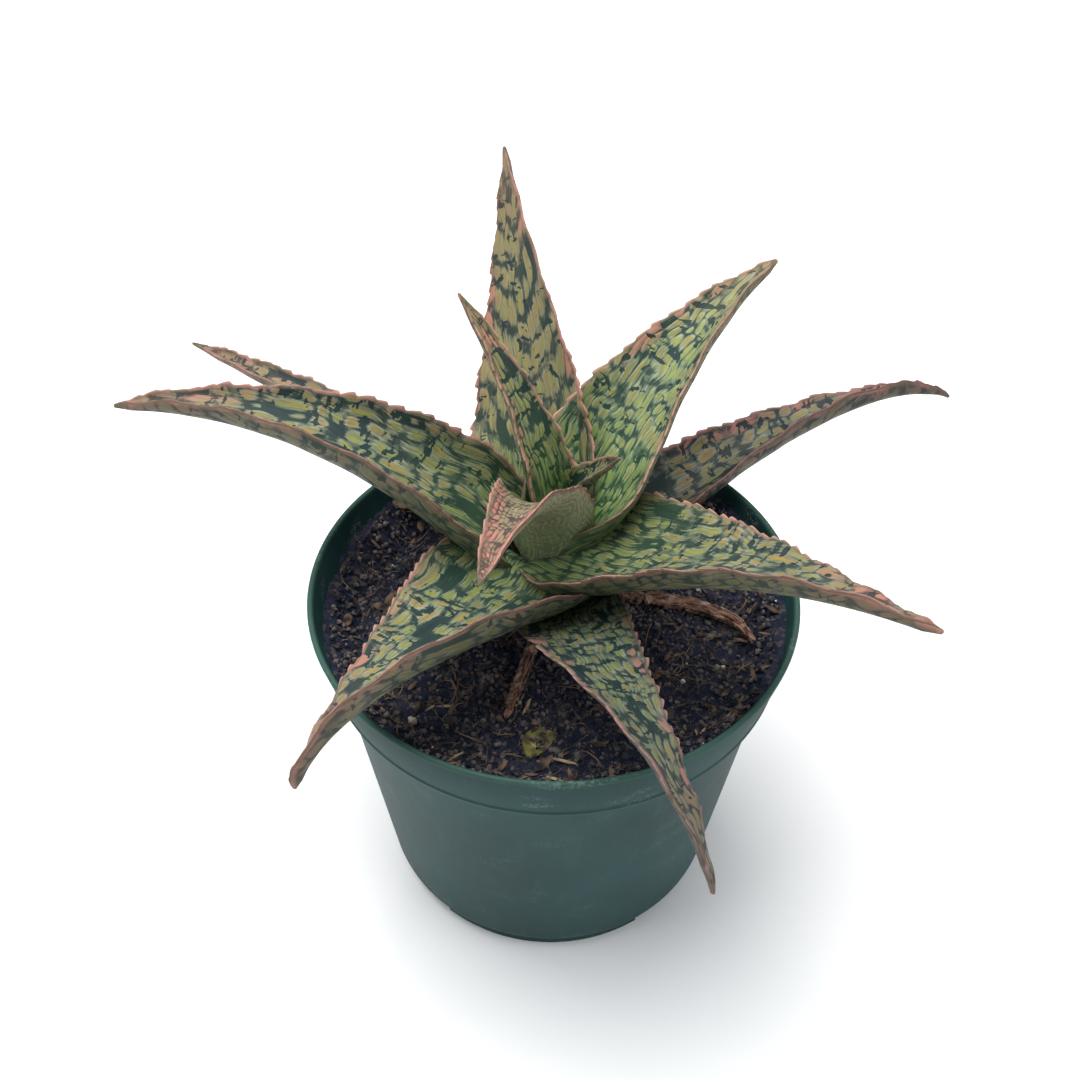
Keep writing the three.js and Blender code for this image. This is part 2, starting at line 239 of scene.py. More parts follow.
def turned(profile, start, segments):
    """A body turned about Z: a disc whose edge is pulled out ring by ring and closed at the end."""
    radius, height = start
    bpy.ops.mesh.primitive_circle_add(
        vertices=segments, radius=radius * MM, fill_type="TRIFAN", location=(0, 0, height * MM))
    body = bpy.context.object
    bpy.ops.object.transform_apply(location=True)
    bpy.ops.object.mode_set(mode="EDIT")
    bpy.ops.mesh.select_all(action="SELECT")
    bpy.ops.mesh.region_to_loop()
    for next_radius, next_height in profile:
        bpy.ops.mesh.extrude_region_move(
            TRANSFORM_OT_translate={"value": (0, 0, (next_height - height) * MM)})
        grow = next_radius / radius
        bpy.ops.transform.resize(value=(grow, grow, 1), center_override=(0, 0, 0))
        radius, height = next_radius, next_height
    bpy.ops.mesh.edge_face_add()
    bpy.ops.mesh.poke()
    bpy.ops.mesh.select_all(action="SELECT")
    bpy.ops.mesh.normals_make_consistent(inside=False)
    bpy.ops.object.mode_set(mode="OBJECT")
    return body


def pot_plastic():
    """Dark green plastic, faintly streaked and dusty, scuffed most on the lip, with a painted highlight
    along the top of the rim.
    """
    green = Finish("pot_green_plastic", Specular_IOR_Level=0.2)
    place = green.node("ShaderNodeTexCoord", output="Object")
    high = green.node("ShaderNodeSeparateXYZ", None, {0: place}, "Z")
    haze = green.grain(place, 28, 3, 0.55)
    drips = green.grain(green.vector("MULTIPLY", place, (1, 1, 0.12)), 420, 2, 0.6)
    speck = green.grain(place, 900, 2, 0.6)
    body = green.mix(haze.smooth(0.35, 0.7), daylight(24, 54, 54), daylight(36, 68, 68))
    body = green.mix(drips.smooth(0.5, 0.75) * 0.2, body, daylight(58, 84, 80))
    body = green.mix(speck.smooth(0.7, 0.78) * 0.5, body, daylight(18, 34, 32))
    rubbed = green.grain(green.vector("MULTIPLY", place, (1, 1, 2.2)), 70, 1, 0.5).smooth(0.56, 0.7)
    scuff = rubbed * green.grain(place, 1300, 2, 0.7).smooth(0.47, 0.6)
    scuff = scuff * (0.25 + 0.75 * high.smooth(LIP_FOOT * MM, (LIP_FOOT + LIP_SCUFF_RISE) * MM))
    body = green.mix(scuff * 0.7, body, daylight(104, 126, 122))
    # Painted highlight: the top of the rim is painted paler, as if lit from above.
    rim_highlight = high.smooth((POT_HEIGHT - RIM_HIGHLIGHT[0]) * MM, (POT_HEIGHT - RIM_HIGHLIGHT[1]) * MM)
    body = green.mix(rim_highlight * 0.45, body, daylight(58, 88, 74))
    green.bump(haze * 0.6 + speck * 0.4, POT_RELIEF, 0.5)
    return green.look(body, 0.48 + haze * 0.18)


pot = turned(pot_profile(), (PAD_RADIUS, 0), POT_SEGMENTS)
drain_reach = RIM_RADIUS - DRAIN_INNER_RADIUS
for facing in DRAIN_FACINGS:
    bpy.ops.mesh.primitive_cube_add(size=1)
    cutter = bpy.context.object
    cutter.scale = (drain_reach * MM, DRAIN_WIDTH * MM, 2 * DRAIN_HEIGHT * MM)
    cutter.rotation_euler.z = math.radians(facing)
    cutter.location = cutter.rotation_euler.to_matrix() @ Vector(
        ((DRAIN_INNER_RADIUS + drain_reach / 2) * MM, 0, 0))
    apply_modifier(pot, "BOOLEAN", object=cutter)
    bpy.data.objects.remove(cutter)
bpy.ops.object.select_all(action="DESELECT")
pot.select_set(True)
bpy.ops.object.shade_smooth_by_angle(angle=math.radians(POT_CREASE))
settle(pot, "pot_shell", pot_plastic(), "pot")


# Soil: a moist mix of peat, bark and fibre, pressed round the stem a finger's breadth below
# the rim and heaped against the wall, most at the back and right. Crumbs, chips, pale
# grains, fibres, bits of straw and a scrap of yellow leaf lie loose on it.
SOIL_LEVEL = 74.5
SOIL_MOUND = 1.2
MOUND_MIDDLE = 0.4
MOUND_REACH = 51
SOIL_LUMP = 0.4
SOIL_EDGE = 50.8
SOIL_GAP = 0.3
SOIL_BANK = 8.5
BANK_START = 42
BANK_FACING = 60
BANK_LEAST = 0.6
BANK_FADE = 0.7
WALL_FLARE = 0.25
SOIL_MESH = 230
SOIL_CREASE = 50
TOP_LAYER = 0.1
BIT_INSET = 0.2
BIT_LUMPS = 0.45

# The relief of the crumbs: the breadth of its lumps, where its noise is cut, and its height.
SOIL_RELIEF = ((7, 3.1, 0.9), (2.6, 7.7, 0.75), (1.1, 1.9, 0.45))
RELIEF_BASE = 0.2

# Loose bits: their number, least and greatest half length, how high they lie in half
# lengths, how far they tip in radians, and the stretched balls that they are copies of.
LOOSE_BITS = [
    dict(name="soil_crumbs", count=9000, low=0.14, high=0.85, sink=0.15, tip_limit=1.5,
         faces=1, seed=1, stretches=((1, 0.85, 0.8), (1, 0.85, 0.8), (1, 0.85, 0.8))),
    dict(name="soil_chips", count=420, low=0.7, high=3.0, sink=0.12, tip_limit=0.5,
         faces=1, seed=9, stretches=((1, 0.3, 0.16), (1, 0.2, 0.14), (1, 0.45, 0.14))),
    dict(name="soil_grains", count=40, low=0.3, high=0.7, sink=0.5, tip_limit=1.5,
         faces=2, seed=21, stretches=((1, 0.9, 0.85),)),
]
PALE_GRAIN_AT = (-30.2, -30.2)
PALE_GRAIN_LIFT = 1.0
PALE_GRAIN_SIZE = 1.05
STRAW_BITS = dict(name="soil_straws", count=90, low=1.6, high=3.6, sink=0.16, tip_limit=0.3,
                  faces=1, seed=4, stretches=((1, 0.15, 0.07), (1, 0.15, 0.07), (1, 0.15, 0.07)))
STRAW_LINE = -22
FIBRES = 900
FIBRE_STEPS = 7
FIBRE_INSET = 3
FIBRE_HELD = 0.8
FIBRE_SHORTEST = 1.5
FIBRE_SPAN = 9
FIBRE_CURL = 0.35
FIBRE_THICKNESS = (0.06, 0.2)
FIBRE_END = 0.35
FIBRE_ARCH = 0.12
FIBRE_LIFT = 0.15
SCRAP_AT = (-4.4, -39.6)
SCRAP_SIZE = 6.5
SCRAP_ROWS = 6
SCRAP_COLUMNS = (-1, -0.4, 0.4, 1)
SCRAP_THICKNESS = 0.35

# The finish of each kind of bit: its name, its dark and light colour, and how fine its patches are.
BIT_FINISHES = {
    "soil_crumbs": ("soil_crumb", (17, 25, 42), (106, 97, 94), 480),
    "soil_chips": ("soil_bark", (36, 31, 35), (116, 94, 76), 240),
    "soil_grains": ("soil_grain", (150, 140, 125), (214, 208, 196), 300),
    "soil_fibres": ("soil_fibre", (46, 41, 44), (128, 108, 88), 160),
    "soil_straws": ("soil_straw", (112, 96, 78), (176, 154, 118), 420),
    "soil_scrap": ("soil_scrap", (78, 66, 46), (118, 118, 62), 420),
}


def soil_height(x, y):
    """The level of the soil in mm, a low mound with slow waves, without its crumbs."""
    reach = math.hypot(x, y) / MOUND_REACH
    waves = math.sin(x * 0.21 + 1.3) * math.cos(y * 0.17) + 0.6 * math.sin(x * 0.11 - y * 0.23)
    return SOIL_LEVEL + SOIL_MOUND * (MOUND_MIDDLE - reach * reach) + SOIL_LUMP * waves


def soil_bank(x, y):
    """How far the soil is heaped against the wall, in mm: most at the back and on the right."""
    reach = min(1, max(0, math.hypot(x, y) - BANK_START) / (SOIL_EDGE - BANK_START))
    towards = max(0, math.cos(math.atan2(y, x) - math.radians(BANK_FACING)))
    heap = BANK_LEAST + (1 - BANK_LEAST) * towards ** BANK_FADE
    return SOIL_BANK * heap * reach * reach * (3 - 2 * reach)


def crumbly(x, y):
    """The small relief of the crumbs in mm, with the heap at the wall."""
    coarse, middle, fine = (height * noise.noise(Vector((x / breadth, y / breadth, cut)))
                            for breadth, cut, height in SOIL_RELIEF)
    return coarse + abs(middle) + fine - RELIEF_BASE + soil_bank(x, y)


def soil_mix():
    """Dark wet peat with browner and greyer crumbs."""
    peat = Finish("soil_peat", Specular_IOR_Level=0.25)
    place = peat.node("ShaderNodeTexCoord", output="Object")
    patch = peat.grain(place, 420, 4, 0.7)
    crumb = peat.node("ShaderNodeTexVoronoi", None, {"Vector": place, "Scale": 700})
    tint = peat.node("ShaderNodeSeparateColor", None, {0: crumb.of("Color")}, "Red")
    colour = peat.mix(patch.smooth(0.35, 0.65), daylight(17, 25, 43), daylight(40, 44, 60))
    colour = peat.mix(tint.smooth(0.72, 0.95) * 0.6, colour, daylight(84, 74, 68))
    colour = peat.mix(tint.smooth(0.12, 0.0) * 0.5, colour, daylight(18, 21, 32))
    peat.bump(crumb * -0.6 + peat.grain(place, 1400, 3, 0.7) * 0.6, 0.5, 0.8)
    return peat.look(colour, 0.82 + patch * 0.15)


def bit_finish(name, dark, light, scale):
    """A mottled finish for the loose bits, each with its own shade by its place."""
    bits = Finish(name, Specular_IOR_Level=0.25)
    place = bits.node("ShaderNodeTexCoord", output="Object")
    patch = bits.grain(place, scale, 1, 0.5)
    fine = bits.grain(place, 2200, 2, 0.6)
    colour = bits.mix(patch.smooth(0.36, 0.66), daylight(*dark), daylight(*light))
    colour = bits.mix(fine.smooth(0.55, 0.75) * 0.4, colour, daylight(*dark))
    bits.bump(fine, 0.15, 0.6)
    return bits.look(colour, 0.85)


def settle_bits(piece, name):
    """Finishes loose bits as a part of the soil's look."""
    settle(piece, name, bit_finish(*BIT_FINISHES[name]))


def formed(name, corners, faces):
    """A mesh object from corners in mm and faces."""
    mesh = bpy.data.meshes.new(name)
    mesh.from_pydata([tuple(float(v) * MM for v in corner) for corner in corners], [], faces)
    mesh.update()
    body = bpy.data.objects.new(name, mesh)
    bpy.context.scene.collection.objects.link(body)
    return body


def bit_shape(subdivisions, stretch, seed):
    """One crumb or chip: a ball of a few faces knocked out of round."""
    bpy.ops.mesh.primitive_ico_sphere_add(subdivisions=subdivisions, radius=1)
    ball = bpy.context.object
    corners = np.array([v.co[:] for v in ball.data.vertices])
    rough = np.array([1 + BIT_LUMPS * noise.noise(Vector(c) * 1.7 + Vector((seed, 0, 0)))
                      for c in corners])
    corners = corners * rough[:, None] * np.array(stretch)
    faces = [tuple(p.vertices) for p in ball.data.polygons]
    bpy.data.objects.remove(ball)
    return corners, faces


def scattered(bits, places):
    """Many copies of a few shapes as one body: places holds (x, y, z, size, turn)."""
    shapes = [bit_shape(bits["faces"], stretch, seed)
              for seed, stretch in enumerate(bits["stretches"], bits["seed"])]
    corners, faces = [], []
    for index, (x, y, z, size, turn) in enumerate(places):
        shape, shape_faces = shapes[index % len(shapes)]
        moved = shape * size @ np.array(turn.to_matrix()).T + np.array((x, y, z))
        faces += [tuple(corner + len(corners) for corner in face) for face in shape_faces]
        corners += list(moved)
    return formed(bits["name"], corners, faces)


def on_soil(dice, bits):
    """Random places on the soil for loose bits, each with a size and a turn."""
    places = []
    for _ in range(bits["count"]):
        angle, radius = dice.uniform(0, math.tau), (SOIL_EDGE - BIT_INSET) * math.sqrt(dice.random())
        x, y = radius * math.cos(angle), radius * math.sin(angle)
        size = bits["low"] + (bits["high"] - bits["low"]) * dice.random() ** 2
        tip = Vector((dice.uniform(-1, 1), dice.uniform(-1, 1), 0)) * bits["tip_limit"]
        turn = (Matrix.Rotation(dice.uniform(0, math.tau), 3, "Z")
                @ Matrix.Rotation(tip.x, 3, "X") @ Matrix.Rotation(tip.y, 3, "Y")).to_quaternion()
        z = soil_height(x, y) + crumbly(x, y) + size * bits["sink"]
        places.append((x, y, z, size, turn))
    return places


def fibre_body(dice):
    """Thin bent rootlets and bark fibres lying on the soil, each a three-sided thread."""
    corners, faces = [], []
    for _ in range(FIBRES):
        angle = dice.uniform(0, math.tau)
        radius = (SOIL_EDGE - FIBRE_INSET) * math.sqrt(dice.random())
        x, y = radius * math.cos(angle), radius * math.sin(angle)
        heading = dice.uniform(0, math.tau)
        curl = dice.uniform(-FIBRE_CURL, FIBRE_CURL)
        length = FIBRE_SHORTEST + FIBRE_SPAN * dice.random() ** 2.6
        thick = dice.uniform(*FIBRE_THICKNESS)
        arch = dice.uniform(0, 0.9) * length * FIBRE_ARCH
        for step in range(FIBRE_STEPS + 1):
            t = step / FIBRE_STEPS
            half = thick * (FIBRE_END + (1 - FIBRE_END) * math.sin(math.pi * (0.1 + 0.8 * t)))
            z = soil_height(x, y) + crumbly(x, y) + FIBRE_LIFT + arch * math.sin(math.pi * t)
            out = Vector((-math.sin(heading), math.cos(heading), 0))
            ring = [out * half, -out * half, Vector((0, 0, half))]
            corners += [Vector((x, y, z)) + part for part in ring]
            if step:
                base = len(corners) - 6
                for side in range(3):
                    turn = (side + 1) % 3
                    faces.append((base + side, base + turn, base + 3 + turn, base + 3 + side))
            if step in (0, FIBRE_STEPS):
                end = len(corners) - 3
                faces.append((end, end + 2, end + 1) if step == 0 else (end, end + 1, end + 2))
            x += math.cos(heading) * length / FIBRE_STEPS
            y += math.sin(heading) * length / FIBRE_STEPS
            heading += curl
            held = min(1, (SOIL_EDGE - FIBRE_HELD) / math.hypot(x, y))
            x, y = x * held, y * held
    return formed("soil_fibres", corners, faces)


def scrap_body():
    """A small torn piece of leaf, cupped and curled, lying on the soil at the front."""
    corners, faces = [], []
    for row in range(SCRAP_ROWS):
        reach = row / (SCRAP_ROWS - 1)
        half = SCRAP_SIZE * (0.16 + 0.34 * math.sin(reach * 2.4))
        for side in SCRAP_COLUMNS:
            x = SCRAP_AT[0] + side * half + 0.3 * SCRAP_SIZE * reach
            y = SCRAP_AT[1] + SCRAP_SIZE * reach
            cup = 0.2 + 0.9 * side * side - 0.5 * side * reach
            curl = 0.8 * math.sin(7 * reach + 2 * side)
            corners.append((x, y, soil_height(x, y) + crumbly(x, y) + cup + curl))
    across = len(SCRAP_COLUMNS)
    for row in range(SCRAP_ROWS - 1):
        for column in range(across - 1):
            first = across * row + column
            faces.append((first, first + 1, first + across + 1, first + across))
    scrap = formed("soil_scrap", corners, faces)
    apply_modifier(scrap, "SUBSURF", levels=2, render_levels=2)
    apply_modifier(scrap, "SOLIDIFY", thickness=SCRAP_THICKNESS * MM)
    return scrap


bpy.ops.mesh.primitive_grid_add(x_subdivisions=SOIL_MESH, y_subdivisions=SOIL_MESH, size=2)
soil = bpy.context.object
for vertex in soil.data.vertices:
    across, along = vertex.co.x, vertex.co.y
    x = SOIL_EDGE * across * math.sqrt(1 - along * along / 2)
    y = SOIL_EDGE * along * math.sqrt(1 - across * across / 2)
    vertex.co = Vector((x, y, SOIL_LEVEL)) * MM
bpy.ops.object.mode_set(mode="EDIT")
bpy.ops.mesh.select_all(action="SELECT")
bpy.ops.mesh.region_to_loop()
soil_sides = [
    (LIP_FOOT_RADIUS - POT_WALL - SOIL_GAP, LIP_FOOT + 1.0),
    (LIP_FOOT_RADIUS - LIP_STEP - POT_WALL - SOIL_GAP, LIP_FOOT - 1.1),
    (WALL_FOOT_RADIUS - POT_WALL - SOIL_GAP, WALL_FOOT + SOIL_GAP),
    (FOOT_RADIUS - FOOT_WIDTH - FLOOR_SLOPE, CHANNEL_LIFT + POT_WALL + SOIL_GAP),
]
side_radius = SOIL_EDGE
for next_radius, next_height in soil_sides:
    bpy.ops.mesh.extrude_region_move(TRANSFORM_OT_translate={"value": (0, 0, 0)})
    grow = next_radius / side_radius
    bpy.ops.transform.resize(value=(grow, grow, 0), center_override=(0, 0, next_height * MM))
    side_radius = next_radius
bpy.ops.mesh.edge_face_add()
bpy.ops.mesh.poke()
bpy.ops.mesh.select_all(action="SELECT")
bpy.ops.mesh.normals_make_consistent(inside=False)
bpy.ops.object.mode_set(mode="OBJECT")
for vertex in soil.data.vertices:
    if vertex.co.z > (SOIL_LEVEL - TOP_LAYER) * MM:
        x, y = vertex.co.x / MM, vertex.co.y / MM
        flare = 1 + WALL_FLARE * soil_bank(x, y) / SOIL_EDGE
        vertex.co = Vector((x * flare, y * flare, soil_height(x, y) + crumbly(x, y))) * MM
bpy.ops.object.shade_smooth_by_angle(angle=math.radians(SOIL_CREASE))
settle(soil, "soil_body", soil_mix(), "soil")

dice = random.Random(11)
for bits in LOOSE_BITS:
    places = on_soil(dice, bits)
    if bits["name"] == "soil_grains":
        lying = soil_height(*PALE_GRAIN_AT) + PALE_GRAIN_LIFT
        places.append((*PALE_GRAIN_AT, lying, PALE_GRAIN_SIZE, Matrix.Identity(3).to_quaternion()))
    settle_bits(scattered(bits, places), bits["name"])
settle_bits(fibre_body(dice), "soil_fibres")

places = [spot for spot in on_soil(random.Random(12), STRAW_BITS) if spot[1] < STRAW_LINE]
settle_bits(scattered(STRAW_BITS, places), "soil_straws")
settle_bits(scrap_body(), "soil_scrap")


# Stem: a short fleshy column in the soil, ringed by the scars of lost leaves and ending in
# a growing point between the leaf bases.
STEM_X = 0
STEM_Y = 11
STEM_RADIUS = 6.0
STEM_FOOT = 48
STEM_FOOT_RISE = 4
STEM_FOOT_TAPER = 0.8
STEM_SHOULDER = 80
STEM_TOP = 89
STEM_SEGMENTS = 32
STEM_CREASE = 60
SCARS = 6
SCAR_START = 70.5
SCAR_PITCH = 1.7
SCAR_WIDTH = 0.9
SCAR_DEPTH = 0.5
BUD_RADII = (3.6, 1.2)
BUD_DROPS = (4, 1)


def stem_skin():
    """Brownish scarred bark that turns fresh green towards the growing point."""
    skin = Finish("stem_skin", Specular_IOR_Level=0.4)
    place = skin.node("ShaderNodeTexCoord", output="Object")
    high = skin.node("ShaderNodeSeparateXYZ", None, {0: place}, "Z")
    fresh = high.smooth((STEM_SHOULDER - 6) * MM, (STEM_SHOULDER + 2) * MM)
    rings = skin.grain(skin.vector("MULTIPLY", place, (1, 1, 6)), 140, 2, 0.6)
    bark = skin.mix(rings.smooth(0.4, 0.65), daylight(70, 58, 42), daylight(118, 104, 74))
    colour = skin.mix(fresh, bark, skin.mix(rings, daylight(58, 92, 28), daylight(96, 132, 50)))
    skin.bump(rings, 0.3, 0.6)
    return skin.look(colour, 0.6 - fresh * 0.12)


stem_profile = [(STEM_RADIUS, STEM_FOOT + STEM_FOOT_RISE)]
for scar in range(SCARS):
    level = SCAR_START + scar * SCAR_PITCH
    stem_profile += [(STEM_RADIUS - SCAR_DEPTH, level), (STEM_RADIUS, level + SCAR_WIDTH)]
stem_profile += [(radius, STEM_TOP - drop) for radius, drop in zip(BUD_RADII, BUD_DROPS)]
stem = turned(stem_profile, (STEM_RADIUS - STEM_FOOT_TAPER, STEM_FOOT), STEM_SEGMENTS)
stem.location = (STEM_X * MM, STEM_Y * MM, 0)
bpy.ops.object.transform_apply(location=True)
bpy.ops.object.shade_smooth_by_angle(angle=math.radians(STEM_CREASE))
settle(stem, "stem_column", stem_skin(), "stem")


# Leaves: fleshy channelled blades that clasp the stem and arch out from it. Each is dark
# green, blotched with pale elongated flecks that crowd together towards the base, and
# edged with a coral horny margin of small hooked teeth.
SHEATH_ANGLE = 82
SHEATH_LENGTH = 0.045
ROLL_LENGTH = 0.08
WAIST_LENGTH = 0.07
FILL_LENGTH = 0.12
TUCK_LENGTH = 0.25
TIP_TAPER = 0.95
SWELL = 0.42
SWELL_RATE = 5
TIP_THINNING = 0.8
THIN_HALF = 1.2
BACK_FULLNESS = 2.2
MARGIN_THICKNESS = 0.35
MARGIN_STAND = 0.2
MARGIN_RIPPLE = 0.35
RIPPLE_LENGTH = 2.3
UPPER_COLUMNS = 19
BACK_COLUMNS = 13
STATION_PITCH = 0.36
LEAF_WELD = 0.02
LEAF_CREASE = 70
TOOTH_START = 9
TOOTH_END = 1.5
TOOTH_PITCH = 3.4
TOOTH_GAPS = (0.75, 1.3)
TOOTH_SIZES = (0.4, 1.05)
TOOTH_FADE = 0.6
TOOTH_SPREADS = (0.7, 1.0)
TOOTH_RISE = 0.5
TOOTH_HOLLOW = 1.6
TOOTH_HEIGHT = 1.25
BACK_TOOTH = 0.3
BACK_PATTERN_SHIFT = 57
LEAF_PATTERN_SHIFT = 173

# What a leaf has if its own line says nothing else. wrap, wrap_length, grip: half the angle
# that the sheath clasps, and how it opens; waist, fill, tuck: how much narrower, fuller and
# lower at one margin the base is. fleck: breadth and pitch of a fleck in mm; dense: more
# flecks; stagger, sway, vee: how far the rows of flecks are out of step, wander and point;
# merge, band: broader and shorter flecks; tan, bud: tints of the flecks and the base;
# back_tint_and_painted_light: the tint of the back, with painted light where the back lies in
# shade; tint_and_painted_light: a tint of the whole leaf, partly its own colour and partly
# painted light and shade; bare_and_painted_shade, tip: where the flecks start, a fleckless
# base being painted shade, and where the brown tip begins.
PLAIN_LEAF = dict(
    wrap=120, wrap_length=0.09, grip=1, waist=0, fill=0, tuck=0, thickness=4,
    fleck=(3.1, 6.4), dense=0, stagger=0.75, sway=2.2, vee=0.25, merge=0, band=0,
    tan=0, bud=0, bare_and_painted_shade=0, tip=0.6, back_tint_and_painted_light=(92, 98, 82), tint_and_painted_light=(1, 1, 1))

# facing, swerve: degrees from +X towards +Y; rise, droop: slope at the stem and what it
# has lost at the tip; fold: half the angle of the channel; roll, twist: degrees about the
# midline; lengths in mm. young, blush: how fresh a green and how pink a leaf is.
# The whole-leaf tints are partly painted light and shade: those below 1 darken leaves that lie low in
# shade, those above 1 lighten leaves whose faces lie in shade.
LEAVES = [
    dict(name="leaf_heart_right", facing=-11, swerve=-2, rise=74, droop=-39, bend=1.9, length=29.5,
         height=92, width=14, fold=61, roll=4, twist=4, radius=0.2, thickness=2,
         young=1.0, blush=0.1, tint_and_painted_light=(0.8, 0.95, 0.8), fleck=(1.0, 2.0), dense=-0.06),
    dict(name="leaf_heart_front", facing=-107, swerve=-2, rise=80, droop=-108, bend=1.5, length=66,
         height=87, width=23, fold=56, roll=15, twist=-16, radius=3.5, thickness=3.4,
         young=0.5, blush=1.2, tip=0.15, tint_and_painted_light=(1.15, 1.12, 1.12), fleck=(1.5, 1.9), dense=0.1,
         back_tint_and_painted_light=(205, 215, 170)),
    dict(name="leaf_young_upright", facing=152.5, swerve=-5.5, rise=88.5, droop=-39.5, bend=0.8,
         length=64, height=91, width=12.7, fold=27, roll=-24.5, twist=27.5, radius=-1.5,
         young=1.0, blush=0.3, tint_and_painted_light=(1.15, 1.2, 1.05), fleck=(1.5, 5.4), bud=1),
    dict(name="leaf_back_right", facing=43, swerve=-6, rise=48.5, droop=-33, bend=2.2, length=80.5,
         height=88.2, width=32.5, fold=56, roll=20.5, twist=-38.5, radius=4, wrap=148,
         wrap_length=0.13, grip=1.5, waist=0.11,
         young=0.6, blush=0.35, tint_and_painted_light=(1.15, 1.25, 1.15), fleck=(2.2, 6.0), dense=0.05, merge=0.4),
    dict(name="leaf_back", facing=102.4, swerve=-5.7, rise=45, droop=-12, bend=1.4, length=88,
         height=89, width=31.5, fold=12, roll=-37, twist=-28, radius=11,
         young=0.2, blush=0.6, tint_and_painted_light=(0.93, 0.89, 0.84), fleck=(2.7, 9.5), dense=0.05,
         stagger=0.3, sway=1, vee=0.8, merge=1.2, band=0.05, tan=0.5),
    dict(name="leaf_front_right", facing=-46, swerve=-3.5, rise=37, droop=-20, bend=1.9,
         length=108, height=82.7, width=37, fold=32.5, roll=15.5, twist=-56.5, radius=7.7,
         wrap=101, waist=0.25, fill=0.95,
         young=0.35, blush=0.6, tint_and_painted_light=(0.97, 0.94, 0.92)),
    dict(name="leaf_left", facing=171.3, swerve=0.4, rise=47.2, droop=-59.7, bend=1.12,
         length=100.8, height=83, width=31.1, fold=74.5, roll=-12.7, twist=28.5, radius=10.9,
         wrap=62, waist=0.52, fill=0.5,
         young=0.3, blush=0.8),
    dict(name="leaf_front_left", facing=-117, swerve=-22.8, rise=18, droop=-96, bend=4.3,
         length=87.3, height=81.8, width=42.2, fold=36.3, roll=3.5, twist=59.2, radius=8.7,
         wrap=74, waist=0.42, fill=0.6, tuck=3.2,
         young=0.1, blush=0.9, fleck=(3.6, 6.2)),
    dict(name="leaf_right", facing=35.5, swerve=-24, rise=16, droop=-57, bend=7, length=101,
         height=77.5, width=19.5, fold=59, roll=33, twist=-89.5, radius=13,
         young=0.0, blush=0.7, tint_and_painted_light=(0.8, 0.73, 0.82)),
    dict(name="leaf_back_left", facing=142.5, swerve=0.3, rise=16.3, droop=-24.6, bend=0.92,
         length=111.5, height=78.8, width=14.5, fold=62, roll=48.4, twist=-70.5, radius=12,
         wrap=83, waist=0.3,
         young=0.0, blush=0.8),
    dict(name="leaf_front", facing=-85, swerve=26, rise=29.5, droop=-107.5, bend=3.7,
         length=108.5, height=77.5, width=23, fold=13, roll=24.5, twist=-77, radius=9.8,
         young=0.0, blush=0.4, tint_and_painted_light=(0.59, 0.65, 0.7), fleck=(2.1, 5.0), bare_and_painted_shade=0.16),
]


def leaf_course(leaf, stations):
    """The midline of a leaf in mm, with its side and upward directions, at even steps."""
    t = np.linspace(0, 1, stations)
    facing = np.radians(leaf["facing"] + leaf["swerve"] * t)
    slope = np.radians(leaf["rise"] + (SHEATH_ANGLE - leaf["rise"]) * np.exp(-t / SHEATH_LENGTH)
                       + leaf["droop"] * t ** leaf["bend"])
    along = np.stack([np.cos(slope) * np.cos(facing), np.cos(slope) * np.sin(facing), np.sin(slope)], -1)
    out = leaf["radius"]
    start = np.array([STEM_X + math.cos(facing[0]) * out, STEM_Y + math.sin(facing[0]) * out,
                      leaf["height"]])
    steps = (along[1:] + along[:-1]) / 2 * leaf["length"] / (stations - 1)
    middle = np.vstack([start, start + np.cumsum(steps, 0)])
    level = np.stack([-np.sin(facing), np.cos(facing), np.zeros(stations)], -1)
    rise = np.cross(along, level)
    turn = np.radians(leaf["roll"] + leaf["twist"] * t) * (1 - np.exp(-t / ROLL_LENGTH))
    side = level * np.cos(turn)[:, None] + rise * np.sin(turn)[:, None]
    return t, middle, side, np.cross(along, side)


def margin_teeth(dice, length, t):
    """How far the teeth of one margin stand out at each station, as a part of their height."""
    far = t * length
    stand = np.zeros_like(far)
    place = TOOTH_START + dice.uniform(0, TOOTH_PITCH)
    while place < length - TOOTH_END:
        size = dice.uniform(*TOOTH_SIZES) * (1 - TOOTH_FADE * place / length)
        spread = TOOTH_PITCH * dice.uniform(*TOOTH_SPREADS)
        rising = np.clip(1 - (place - far) / TOOTH_RISE, 0, 1)
        falling = np.clip(1 - (np.maximum(far - place, 0) / spread) ** TOOTH_HOLLOW, 0, 1)
        stand = np.maximum(stand, size * np.where(far < place, rising, falling))
        place += TOOTH_PITCH * dice.uniform(*TOOTH_GAPS)
    return stand


